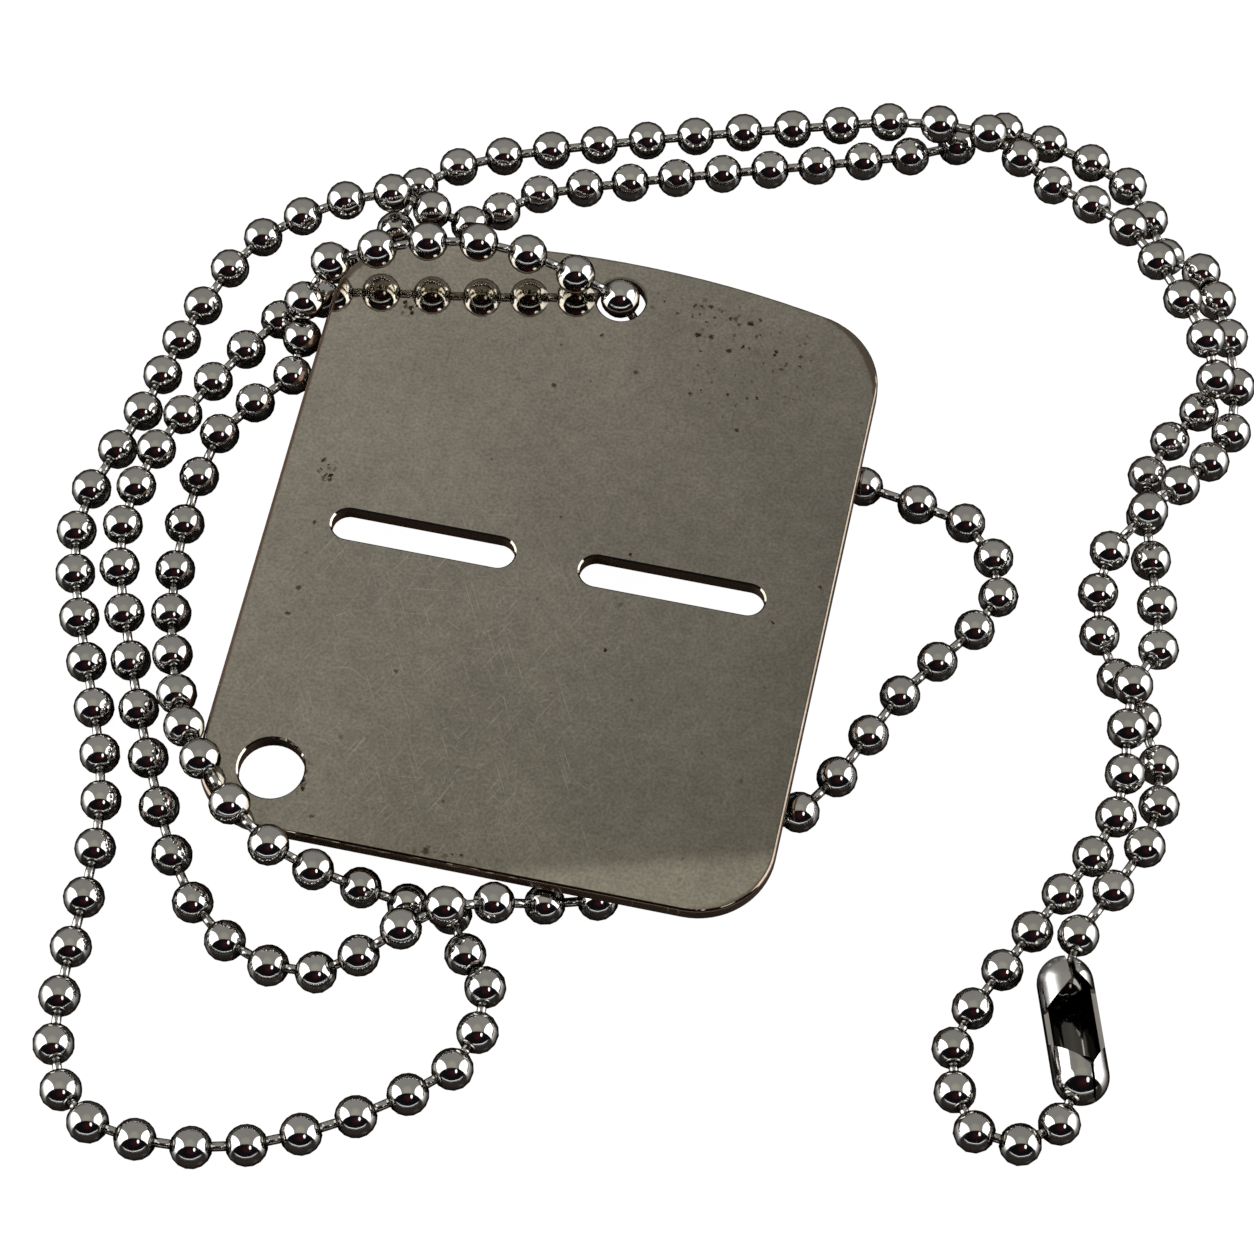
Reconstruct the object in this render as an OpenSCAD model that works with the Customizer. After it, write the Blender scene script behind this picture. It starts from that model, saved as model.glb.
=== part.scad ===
// Identification tag on its ball chain, lying on a table.
// All sizes are in millimetres. The table is z = 0.

/* [Tag] */
// Width of the tag
tag_w = 33.5; // [28:0.5:40]
// Length of the tag
tag_l = 41.5; // [36:0.5:50]
// Thickness of the sheet
tag_t = 1.1; // [0.8:0.1:1.6]
// Radius of the lower corners
corner_r = 4.5; // [3:0.25:7]
// Radius of the upper corners
shoulder_r = 5; // [3:0.25:7]
// Radius of the arched upper edge
arch_r = 63; // [50:1:120]
// Rounding of the outer edges
edge_r = 0.25; // [0.1:0.05:0.35]
// Turn of the tag on the table, in degrees
tag_turn = -12.2; // [-45:0.1:45]
// Height of the table's gap under the tag, over one ball
tag_lift = 0.15; // [0.1:0.05:0.5]

/* [Slots and holes] */
// Length of a slot
slot_l = 11; // [8:0.1:13]
// Width of a slot
slot_w = 2; // [1.2:0.1:3]
// Metal between a slot and the side of the tag
slot_side = 3.8; // [2:0.1:5]
// Drop of the slots below the middle of the tag
slot_drop = 0.6; // [-4:0.1:4]
// Diameter of the hole for the chain
eye_d = 3; // [2.8:0.1:3.6]
// Centre of that hole below the top of the tag
eye_drop = 2.75; // [2.3:0.05:4]
// That hole to the right of the middle
eye_off = 0.4; // [-2:0.05:2]
// Diameter of the free hole at the lower left
free_d = 3.8; // [2.5:0.1:4.5]
// Centre of that hole in from the left side
free_in = 4.35; // [3:0.05:7]
// Centre of that hole up from the lower end
free_up = 3.75; // [3:0.05:7]
// Broken edge of the slots and holes
hole_edge = 0.1; // [0.05:0.05:0.3]

/* [Chain] */
// Diameter of a ball
ball_d = 2.4; // [2:0.1:2.8]
// Wall of a hollow ball
ball_wall = 0.25; // [0.2:0.01:0.3]
// Diameter of the rod between two balls
rod_d = 0.55; // [0.5:0.01:0.75]
// Diameter of the rod's head inside the next ball
head_d = 1.1; // [1:0.01:1.2]
// Distance that the head sits short of that ball's centre
head_back = 0.25; // [0.15:0.01:0.3]

/* [Clasp] */
// Overall length of the clasp
clasp_l = 8.8; // [8:0.1:11]
// Thickness of its sheet
sheet_t = 0.25; // [0.2:0.01:0.3]
// Turn of the clasp on the table, in degrees
clasp_turn = 96; // [80:0.5:110]
// Width of the slot in its end
mouth_w = 0.4; // [0.3:0.01:0.8]
// Width of the seam where the sheet meets
seam_w = 0.15; // [0.1:0.01:0.2]

/* [Clearances] */
// Room round a rod in a drilled hole
rod_room = 0.12; // [0.1:0.01:0.2]
// Room round a ball in the clasp
ball_room = 0.15; // [0.1:0.01:0.25]

/* [Hidden] */
$fn = 48;
// Cuts reach this far past a face.
past = 0.5;
// The upper rounds stand out of the arch by this much.
trace = 0.01;
ball_r = ball_d / 2;
cave_r = ball_r - ball_wall;
bore_d = rod_d + 2 * rod_room;
clasp_r = ball_r + ball_room + sheet_t;
clasp_half = clasp_l / 2 - clasp_r;
// The chain passes through the tag's hole here, whatever the tag's size.
eye_x = -2.2;
eye_y = 19.9;
tag_z = ball_d + tag_lift;
// Middle of the clasp on the table.
clasp_x = 22.95;
clasp_y = -26.85;
clasp_out = [cos(clasp_turn), sin(clasp_turn), 0];
clasp_at = [clasp_x, clasp_y, clasp_r];

// The chain's route. A row is a ball: x, y, its height in ball
// diameters over the table, and the number of balls to the next row.
ROUTE = [
  // from the clasp's lower end, round its left side and up the right
  [22, -32.25, 0.05, 1],
  [19.75, -33.5, 0.05, 1],
  [17.25, -32.75, 0.05, 2],
  [16.25, -27.75, 0, 3],
  [21, -20.75, 0.05, 3],
  [26, -14, 0.4, 3],
  [27.25, -6.25, 0.95, 1],
  [29, -3.5, 0.6, 4],
  [29.25, 9, 0, 2],
  [32.5, 13, 0.3, 1],
  [33.25, 13.75, 1.35, 1],
  [32.75, 16.25, 1.6, 3],
  [28.75, 25, 1.1, 2],
  [24.5, 29.25, 0.35, 2],
  // along the top edge to the left
  [20.5, 32, 1.05, 1],
  [17.5, 32.75, 1, 1],
  [14.5, 33.75, 0.5, 8],
  [-9.5, 32, 0, 2],
  [-14.75, 29.75, 0, 1],
  [-16, 26.75, 0, 1],
  [-17.25, 24.5, 0, 1],
  [-19.75, 24, 0, 1],
  [-20.5, 21.5, 0, 1],
  // down the left side to the tag's lower edge
  [-23, 20, 0, 3],
  [-28.5, 12.75, 0.35, 2],
  [-31, 7.75, 0.4, 2],
  [-31.75, 2.5, 0.2, 6],
  [-27.75, -16, 0.05, 2],
  [-24.5, -21.25, 0, 2],
  [-19.25, -23.5, 0.3, 3],
  [-12, -20.5, 1.25, 2],
  // under the tag and back up to its hole
  [-6.5, -19, 0, 1],
  [-3.5, -18.75, 0, 4],
  [8, -13.25, 0, 3],
  [14, -5.75, 0, 3],
  [20, 0.75, 0, 2],
  [18.25, 5.75, 0, 2],
  [12.25, 8.25, 0, 5],
  [-0.5, 18.5, 0, 1],
  // up through the hole and out over the tag's left edge
  [-2.25, 20, 1, 3],
  [-10.75, 22, 2.3, 3],
  [-19.75, 21.5, 1.75, 1],
  [-21.25, 19.75, 1.25, 1],
  [-21.5, 18, 0.5, 1],
  [-22, 15.5, 0.35, 2],
  [-26.25, 11.5, 0.3, 3],
  [-28.5, 2.5, 0.05, 3],
  [-27.75, -6.75, 0.9, 2],
  [-26, -11.75, 1.65, 2],
  [-22, -16.75, 1.3, 3],
  [-14.25, -19, 0, 1],
  [-11.75, -19.75, 0.15, 1],
  // the outer loop at the lower left, and up the left side
  [-11, -22.25, 0.4, 1],
  [-9.75, -24.5, 0.4, 2],
  [-11.5, -29.25, 0.25, 4],
  [-22.75, -33.5, 0, 3],
  [-31.5, -32.25, 0.1, 2],
  [-33.75, -27.5, 0, 5],
  [-32, -12.5, 0, 6],
  [-34.5, 5.25, 0, 3],
  [-31, 13.5, 0, 3],
  [-27.75, 21, 0, 2],
  [-24.25, 25.75, 0.15, 3],
  // along the top again and down the right side to the clasp's upper end
  [-16.5, 27.75, 0.95, 2],
  [-11.75, 26.25, 0.4, 2],
  [-7.25, 29, 0.1, 8],
  [15.75, 31.5, 0.3, 1],
  [18.75, 32.75, 0, 1],
  [21.75, 33.75, 0.1, 3],
  [29.25, 29.75, 0, 2],
  [31.25, 24.5, 0, 1],
  [33, 22.75, 0.55, 2],
  [34.5, 17.75, 0.6, 2],
  [34.25, 11.25, 0.5, 3],
  [28.75, 5, 1.15, 1],
  [26.5, 3, 0.65, 2],
  [25.75, -2, 0.15, 3],
  [28.75, -10.25, 0, 2],
  [27.5, -16, 0.5, 2],
  [23.5, -21.25, 0.3, 1]];

// The clasp's window seen from above, in shares of its half length
// and of its radius, from the end that has the slot.
WINDOW = [
  [0.68, -0.08],
  [0.57, -0.1],
  [0.47, 0.19],
  [0.29, 0.75],
  [0.15, 1.1],
  [-0.15, 1.1],
  [-0.3, 0.72],
  [-0.47, 0.1],
  [-0.62, -0.31],
  [-0.42, -0.72],
  [-0.24, -1.1],
  [0.37, -1.1],
  [0.52, -0.72],
  [0.6, -0.5],
  [0.68, -0.3],
];

// Balls: the route is a smooth curve through its rows, with the balls
// spaced evenly from each row to the next one.
last = len(ROUTE) - 1;
function row_at(i) = [
  ROUTE[i].x,
  ROUTE[i].y,
  ball_r + ball_d * ROUTE[i].z
];
low_end = clasp_at - clasp_half * clasp_out;
high_end = clasp_at + clasp_half * clasp_out;
function point(i) = i < 0 ? low_end : i > last ? high_end : row_at(i);
function balls_from(i) = i < 0 ? 1 : i > last ? 0 : ROUTE[i][3];
function slope(i) =
  (point(i + 1) - point(i - 1)) / (balls_from(i - 1) + balls_from(i));
function ease(t) = [
  2 * t * t * t - 3 * t * t + 1,
  t * t * t - 2 * t * t + t,
  3 * t * t - 2 * t * t * t,
  t * t * t - t * t
];
function along(i, k, n) =
  let (e = ease(k / n))
  e[0] * point(i) + e[1] * n * slope(i)
  + e[2] * point(i + 1) + e[3] * n * slope(i + 1);
function on_table(p) = [p.x, p.y, max(p.z, ball_r)];
balls = concat(
  [low_end],
  [for (i = [0:last]) for (k = [0:balls_from(i) - 1]) on_table(along(i, k, balls_from(i)))],
  [high_end]
);
ball_count = len(balls);
// The ball that sits in the tag's hole ends the first half of the chain.
in_eye = 90;

// Points the children's z axis along v.
module aim(v) {
  rotate([0, acos(v.z / norm(v)), atan2(v.y, v.x)])
    children();
}

// A drilled hole or slot with broken edges: len is 0 for a round hole.
module broken_end(r) {
  translate([0, 0, -past])
    cylinder(h = tag_t + 2 * past, r = r);
  translate([0, 0, -past])
    cylinder(h = past + hole_edge, r1 = r + hole_edge + past, r2 = r);
  translate([0, 0, tag_t - hole_edge])
    cylinder(h = past + hole_edge, r1 = r, r2 = r + hole_edge + past);
}

module broken_cut(len, r) {
  run = len / 2 - r;
  if (run <= 0)
    broken_end(r);
  else {
    for (s = [-1, 1])
      translate([s * run, 0, 0])
        broken_end(r);
    translate([-run, 0, 0])
      rotate([90, 0, 90])
        linear_extrude(2 * run)
          polygon([
            [-r - hole_edge - past, -past],
            [r + hole_edge + past, -past],
            [r, hole_edge],
            [r, tag_t - hole_edge],
            [r + hole_edge + past, tag_t + past],
            [-r - hole_edge - past, tag_t + past],
            [-r, tag_t - hole_edge],
            [-r, hole_edge]
          ]);
  }
}

// The section of the sheet's edge, from x = 0 out to x = w.
module edge_section(w) {
  square([w - edge_r, tag_t]);
  translate([0, edge_r])
    square([w, tag_t - 2 * edge_r]);
  for (z = [edge_r, tag_t - edge_r])
    translate([w - edge_r, z])
      circle(edge_r);
}

module both_ways(w) {
  edge_section(w);
  mirror([1, 0])
    edge_section(w);
}

// The blank: a slab from side to side, a foot and a round at each corner,
// all cut by the arch of the upper edge. The upper rounds stand out of the
// arch by a trace, so that it cuts them cleanly.
module tag_blank() {
  foot_x = tag_w / 2 - corner_r;
  foot_y = corner_r - tag_l / 2;
  arch_y = tag_l / 2 - arch_r;
  head_x = tag_w / 2 - shoulder_r;
  head_up = sqrt(pow(arch_r - shoulder_r, 2) - head_x * head_x);
  head_y = arch_y + head_up + trace;
  past_y = tag_l / 2 + past;
  past_x = head_x * (1 + (past_y - head_y) / head_up);
  intersection() {
    translate([0, arch_y, 0])
      rotate_extrude($fn = 360)
        edge_section(arch_r);
    union() {
      translate([0, head_y, 0])
        rotate([90, 0, 0])
          linear_extrude(head_y - foot_y)
            both_ways(tag_w / 2);
      translate([-foot_x, 0, 0])
        rotate([90, 0, 90])
          linear_extrude(2 * foot_x)
            mirror([1, 0])
              edge_section(tag_l / 2);
      linear_extrude(tag_t)
        polygon([
          [-head_x, 0],
          [head_x, 0],
          [head_x, head_y],
          [past_x, past_y],
          [-past_x, past_y],
          [-head_x, head_y]
        ]);
      for (s = [-1, 1]) {
        translate([s * foot_x, foot_y, 0])
          rotate_extrude()
            edge_section(corner_r);
        translate([s * head_x, head_y, 0])
          rotate_extrude()
            edge_section(shoulder_r);
      }
    }
  }
}

module tag_plate() {
  slot_x = tag_w / 2 - slot_side - slot_l / 2;
  eye_up = tag_l / 2 - eye_drop;
  color("#6f6a60")
    translate([eye_x, eye_y, tag_z])
      rotate([0, 0, tag_turn])
        translate([-eye_off, -eye_up, 0])
          difference() {
            tag_blank();
            for (s = [-1, 1])
              translate([s * slot_x, -slot_drop, 0])
                broken_cut(slot_l, slot_w / 2);
            translate([eye_off, eye_up, 0])
              broken_cut(0, eye_d / 2);
            translate([free_in - tag_w / 2, free_up - tag_l / 2, 0])
              broken_cut(0, free_d / 2);
          }
}

// A hollow ball at b, drilled towards the ball at a.
module ball(b, a) {
  translate(b)
    aim(a - b)
      difference() {
        rotate([90, 0, 0])
          sphere(ball_r);
        rotate([90, 0, 0])
          sphere(cave_r);
        cylinder(h = ball_d, d = bore_d);
      }
}

// The rod from the ball at b, with its head inside the ball at c.
module rod(b, c) {
  start = ball_r - ball_wall / 2;
  head_at = norm(c - b) - head_back;
  translate(b)
    aim(c - b) {
      translate([0, 0, start])
        cylinder(h = head_at - start, d = rod_d);
      translate([0, 0, head_at])
        sphere(d = head_d);
    }
}

module run_of_balls(from, to) {
  for (i = [from:to]) {
    ball(balls[i], i > 0 ? balls[i - 1] : balls[0] + clasp_out);
    if (i < ball_count - 1)
      rod(balls[i], balls[i + 1]);
  }
}

module chain_inner() {
  color("#8f8d88")
    run_of_balls(0, in_eye);
}

module chain_outer() {
  color("#8f8d88")
    run_of_balls(in_eye + 1, ball_count - 1);
}

// A capsule along x.
module capsule(r) {
  rotate([0, 90, 0])
    rotate_extrude()
      intersection() {
        union() {
          square([2 * r, 2 * clasp_half], center = true);
          for (s = [-1, 1])
            translate([0, s * clasp_half])
              circle(r);
        }
        translate([0, -clasp_l])
          square([clasp_r + past, 2 * clasp_l]);
      }
}

module rod_way(from, to) {
  translate(from)
    aim(to - from)
      translate([0, 0, ball_r / 2])
        cylinder(h = clasp_r, d = bore_d);
}

module clasp() {
  rim_z = 0.28 * clasp_r;
  color("#9a9892")
    difference() {
      translate(clasp_at)
        rotate([0, 0, clasp_turn])
          difference() {
            capsule(clasp_r);
            capsule(clasp_r - sheet_t);
            translate([0, 0, rim_z])
              linear_extrude(clasp_r)
                polygon([for (p = WINDOW) [p.x * clasp_l / 2, p.y * clasp_r]]);
            translate([0.64 * clasp_l / 2, -0.19 * clasp_r - mouth_w / 2, 0])
              cube([clasp_l / 2, mouth_w, 2 * clasp_r]);
            translate([-clasp_l, -0.31 * clasp_r - seam_w / 2, 0])
              cube([0.7 * clasp_l, seam_w, 2 * clasp_r]);
          }
      rod_way(low_end, balls[1]);
      rod_way(high_end, balls[ball_count - 2]);
    }
}

tag_plate();
chain_inner();
chain_outer();
clasp();
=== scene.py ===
"""An identification tag on its ball chain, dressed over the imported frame."""

import math

import bmesh
import bpy
import numpy as np
from bpy.props import (
    FloatProperty,
    FloatVectorProperty,
    IntProperty,
    PointerProperty,
)
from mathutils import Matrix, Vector


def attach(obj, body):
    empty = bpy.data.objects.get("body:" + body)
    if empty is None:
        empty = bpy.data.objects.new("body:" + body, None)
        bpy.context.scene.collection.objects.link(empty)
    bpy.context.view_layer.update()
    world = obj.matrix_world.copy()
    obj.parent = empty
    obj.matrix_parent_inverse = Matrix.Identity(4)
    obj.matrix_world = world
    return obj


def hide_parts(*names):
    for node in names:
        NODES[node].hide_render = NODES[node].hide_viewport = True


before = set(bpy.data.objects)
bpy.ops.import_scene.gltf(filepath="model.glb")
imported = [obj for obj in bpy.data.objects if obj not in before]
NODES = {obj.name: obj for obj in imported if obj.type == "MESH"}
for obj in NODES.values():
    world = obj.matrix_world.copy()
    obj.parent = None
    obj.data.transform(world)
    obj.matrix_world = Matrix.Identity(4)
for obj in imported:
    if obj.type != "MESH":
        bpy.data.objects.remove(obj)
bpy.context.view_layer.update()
MM = 0.001  # the frame is in metres

WELD = 0.0001 * MM  # points nearer than this are one
ON_SKIN = 0.004 * MM  # points this near to a skin of the clasp lie on it
FLOOR_REACH = 2.0  # from the floor's middle to its sides
FLOOR_DROP = 0.02 * MM  # keeps the floor clear of the lowest balls
# Colours that no setting changes.
# A dark colour painted in the hollows round the holes, and as painted shade inside the clasp
# and on the balls in it.
PAINTED_DARK = (0.10, 0.095, 0.085, 1.0)
SCRATCH_LIGHT = (1.0, 0.97, 0.90, 1.0)
RED_TINT = (0.05, 0.010, 0.012, 1.0)
DARK_ROOM = (0.006, 0.006, 0.008, 1.0)
LAMP_LIGHT = (2.5, 2.5, 2.5, 1.0)
SKYLINE_LIGHT = (1.2, 1.2, 1.2, 1.0)

# Scratches on the plate: way in degrees, length and width in millimetres,
# rarity and seed.
SCRATCHES = (
    (8, 5.0, 0.05, 0.69, 1.0),
    (64, 3.0, 0.05, 0.68, 2.3),
    (118, 4.0, 0.045, 0.68, 3.7),
    (152, 2.5, 0.05, 0.69, 5.1),
    (38, 1.2, 0.05, 0.70, 6.2),
    (92, 1.5, 0.05, 0.69, 7.9),
)
# Rust on the plate, in millimetres from its middle: where it gathers, how far
# it reaches, the spacing and size of the specks, and how many there are.
RUST = (
    ((0.0, 0.0), (90.0, 90.0), 2.3, 0.16, 0.35),
    ((5.5, 18.3), (4.8, 2.0), 0.45, 0.18, 0.8),
    ((8.5, 16.8), (7.0, 3.0), 0.7, 0.19, 0.7),
    ((9.0, 14.5), (8.0, 6.5), 0.55, 0.11, 0.5),
    ((-11.9, 14.6), (1.2, 0.9), 0.32, 0.22, 1.5),
    ((-14.0, 2.8), (1.0, 1.4), 0.4, 0.22, 1.2),
    ((-10.4, -17.4), (0.5, 1.6), 0.3, 0.2, 1.2),
    ((-2.0, -20.2), (4.0, 0.9), 0.5, 0.22, 0.8),
)
STAIN = ((7.0, 17.5), (5.0, 3.0), 3.0, 1.6, 1.6)  # brown clouds, in the same form
# What the room shows on a ball: each shape's middle and its half sizes.
LEFT_PANEL = ((-0.63, 0.04), (0.36, 0.39))
RIGHT_PANEL = ((0.63, 0.12), (0.28, 0.32))
DARK_FRONT = ((0.0, -0.38), (0.64, 0.50))
RED_PATCH = ((0.05, -0.12), (0.3, 0.25))
SMALL_LAMP = ((0.2, -0.05), (0.05, 0.09))
# The lamps: name, the way from the tag to the lamp, and width and length.
PANEL_LIGHTS = (
    ("panel_left", (-0.92, 0.06, 0.385), (1.06, 0.76)),
    ("panel_right", (0.92, 0.06, 0.45), (0.96, 0.62)),
)
LAMP_AWAY = 0.8  # from the tag to a lamp

bl_info = {
    "name": "Identification Tag on a Ball Chain",
    "version": (1, 0, 0),
    "blender": (4, 5, 0),
    "location": "View3D > Sidebar > ID Tag",
    "description": "Dresses the packed tag, its ball chain and their clasp",
    "category": "Object",
}


# Sizes and colours that a user may change


def millimetres(name, description, value):
    """A length property, given in millimetres and kept in metres."""
    return FloatProperty(
        name=name,
        description=description,
        default=value * MM,
        min=0.0,
        precision=5,
        subtype="DISTANCE",
        unit="LENGTH",
    )


def place(name, description, value):
    """A point in the shared frame, given in millimetres."""
    return FloatVectorProperty(
        name=name,
        description=description,
        default=[v * MM for v in value],
        precision=5,
        subtype="TRANSLATION",
        unit="LENGTH",
    )


def tint(name, description, value):
    """A colour property."""
    return FloatVectorProperty(
        name=name,
        description=description,
        default=value,
        min=0.0,
        max=1.0,
        size=3,
        subtype="COLOR",
    )


def share(name, description, value, high=1.0):
    """A plain factor."""
    return FloatProperty(
        name=name,
        description=description,
        default=value,
        min=0.0,
        max=high,
        subtype="FACTOR",
    )


def angle(name, description, degrees):
    """An angle property, given in degrees."""
    return FloatProperty(
        name=name,
        description=description,
        default=math.radians(degrees),
        subtype="ANGLE",
        unit="ROTATION",
    )


class TagSettings(bpy.types.PropertyGroup):
    """The steel plate."""

    middle: place(
        "Middle", "Middle of the plate's upper face", (-6.395, 2.391, 3.65)
    )
    turn: angle("Turn", "Turn of the plate on the table", -12.2)
    width: millimetres("Width", "Plate across", 33.5)
    length: millimetres("Length", "Plate from end to end", 41.5)
    corner: millimetres("Corner", "Corner radius", 4.75)
    arch: millimetres("Arch", "Radius of the arched upper edge", 63)
    steel: tint("Steel", "Colour of the clean steel", (0.424, 0.394, 0.333))
    tarnish: tint("Tarnish", "Colour of the rust and tarnish", (0.075, 0.036, 0.018))
    side: tint("Sides", "Colour of the browned sides", (0.14, 0.088, 0.06))
    rough: share("Roughness", "Roughness of the clean steel", 0.035)
    scratches: share("Scratches", "How plainly the scratches show", 0.5)
    spots: share("Spots", "How plainly the tarnish shows", 1.0)


class ChainSettings(bpy.types.PropertyGroup):
    """The balls and rods."""

    ball: millimetres("Ball diameter", "Diameter of a ball", 2.4)
    dimple: millimetres("Dimple", "Depth of the hollow round a hole", 0.4)
    rod: millimetres("Rod diameter", "Diameter of the rods", 0.55)
    head: millimetres("Head diameter", "Diameter of a rod's head", 1.1)
    head_back: millimetres("Head set-back", "From the head to the ball's centre", 0.25)
    sides: IntProperty(
        name="Sides", description="Faces round a ball", default=16, min=8, max=32
    )
    rings: IntProperty(
        name="Rings", description="Bands from hole to hole", default=9, min=7, max=15
    )
    seed: IntProperty(
        name="Seed", description="Picks each ball's own finish", default=7
    )
    chrome: tint("Chrome", "Colour of the plating", (0.62, 0.61, 0.59))
    edge: tint("Edge", "Colour of the plating seen edge on", (0.16, 0.12, 0.09))
    rough: share("Roughness", "Roughness of the plating", 0.07)


class ClaspSettings(bpy.types.PropertyGroup):
    """The bent sheet clasp."""

    middle: place("Middle", "Middle of the clasp", (22.95, -26.85, 1.6))
    turn: angle("Turn", "Turn of the clasp on the table", 96)
    length: millimetres("Length", "Length of the clasp", 8.8)
    width: millimetres("Width", "Diameter of the clasp", 3.2)
    sheet: millimetres("Sheet", "Thickness of the sheet", 0.25)
    dents: share("Dents", "How uneven the bent sheet is", 0.8)


class StageSettings(bpy.types.PropertyGroup):
    """The floor, the lights and the camera."""

    target: place("Target", "Point that the camera looks at", (-1.85, -0.6, 0.0))
    height: angle("Camera height", "Angle of the camera above the table", 62)
    away: millimetres("Camera distance", "From the target to the camera", 244.2)
    lens: FloatProperty(
        name="Lens",
        description="Focal length on a 36 mm sensor",
        default=118.97,
        subtype="DISTANCE_CAMERA",
        unit="CAMERA",
    )
    floor: tint("Floor", "Colour of the floor", (0.022, 0.019, 0.017))
    glow: share("Floor light", "White light that only the camera sees", 0.99, 2.0)
    panels: share("Panels", "Brightness of the two side panels", 3.2, 20.0)
    lamps: share("Lamps", "Brightness of the lamps behind the panels", 7.0, 20.0)
    ceiling: share("Ceiling", "Brightness of the ceiling", 0.33, 4.0)


# Node building


def feed(tree, value, socket):
    """Links an output to a socket, or sets the socket's own value."""
    if isinstance(value, bpy.types.NodeSocket):
        tree.links.new(value, socket)
    elif value is not None:
        socket.default_value = value


def put(tree, kind, wires=(), **settings):
    """Adds a node with these properties and these inputs."""
    node = tree.nodes.new(kind)
    for name, value in settings.items():
        setattr(node, name, value)
    for name, value in dict(wires).items():
        feed(tree, value, node.inputs[name])
    return node


def calc(tree, operation, *values, clamp=False):
    """One step of arithmetic."""
    node = put(tree, "ShaderNodeMath", operation=operation, use_clamp=clamp)
    for value, socket in zip(values, node.inputs):
        feed(tree, value, socket)
    return node.outputs[0]


def vector(tree, operation, *values):
    """One step of vector arithmetic."""
    node = put(tree, "ShaderNodeVectorMath", operation=operation)
    for value, socket in zip(values, node.inputs):
        feed(tree, value, socket)
    plain = operation in ("LENGTH", "DOT_PRODUCT", "DISTANCE")
    return node.outputs["Value" if plain else "Vector"]


def scaled(tree, value, factor):
    """A vector or a colour times a number."""
    wires = {0: value, "Scale": factor}
    return put(tree, "ShaderNodeVectorMath", wires, operation="SCALE").outputs[0]


def part_of(tree, value, axis):
    """One of a vector's three parts."""
    return put(tree, "ShaderNodeSeparateXYZ", {0: value}).outputs[axis]


def ramp(tree, value, low, high, to_low=0.0, to_high=1.0, kind="SMOOTHSTEP"):
    """Eases a value from one range to another."""
    node = put(
        tree,
        "ShaderNodeMapRange",
        {
            "Value": value,
            "From Min": low,
            "From Max": high,
            "To Min": to_low,
            "To Max": to_high,
        },
        interpolation_type=kind,
    )
    return node.outputs["Result"]


def blend_colour(tree, amount, first, second):
    """Mixes two colours."""
    node = put(tree, "ShaderNodeMix", data_type="RGBA")
    feed(tree, amount, node.inputs[0])
    feed(tree, first, node.inputs[6])
    feed(tree, second, node.inputs[7])
    return node.outputs[2]


def rgba(colour, gain=1.0):
    """A colour with its alpha."""
    return (colour[0] * gain, colour[1] * gain, colour[2] * gain, 1.0)


def new_group(name, kind, inputs, outputs):
    """A node group with named sockets, its inputs and its outputs."""
    group = bpy.data.node_groups.new(name, kind)
    for way, sockets in (("INPUT", inputs), ("OUTPUT", outputs)):
        for label, socket_kind, value in sockets:
            socket = group.interface.new_socket(
                label, in_out=way, socket_type="NodeSocket" + socket_kind
            )
            if value is not None:
                socket.default_value = value
    start = group.nodes.new("NodeGroupInput")
    end = group.nodes.new("NodeGroupOutput")
    return group, start.outputs, end.inputs


def hairlines_group():
    """Fine scratches that all run one way."""
    name = "hairlines"
    if name in bpy.data.node_groups:
        return bpy.data.node_groups[name]
    group, start, end = new_group(
        name,
        "ShaderNodeTree",
        [
            ("Vector", "Vector", None),
            ("Way", "Float", 0.0),
            ("Length", "Float", 6.0),
            ("Width", "Float", 0.05),
            ("Rarity", "Float", 0.66),
            ("Seed", "Float", 0.0),
        ],
        [("Mask", "Float", None)],
    )
    spin = put(group, "ShaderNodeCombineXYZ", {"Z": start["Way"]})
    size = put(
        group,
        "ShaderNodeCombineXYZ",
        {"X": start["Length"], "Y": start["Width"], "Z": 1.0},
    )
    lay = put(
        group,
        "ShaderNodeMapping",
        {
            "Vector": start["Vector"],
            "Rotation": spin.outputs[0],
            "Scale": size.outputs[0],
        },
        vector_type="TEXTURE",
    )
    streak = put(
        group,
        "ShaderNodeTexNoise",
        {"Vector": lay.outputs[0], "W": start["Seed"], "Scale": 1.0, "Detail": 1.0},
        noise_dimensions="4D",
    )
    high = calc(group, "ADD", start["Rarity"], 0.05)
    mask = ramp(group, streak.outputs[0], start["Rarity"], high)
    feed(group, mask, end["Mask"])
    return group


def hairlines(tree, at, way, length, width, rarity, seed):
    """A mask of scratches."""
    wires = {
        "Vector": at,
        "Way": math.radians(way),
        "Length": length,
        "Width": width,
        "Rarity": rarity,
        "Seed": seed,
    }
    node = put(tree, "ShaderNodeGroup", wires, node_tree=hairlines_group())
    return node.outputs["Mask"]


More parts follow.
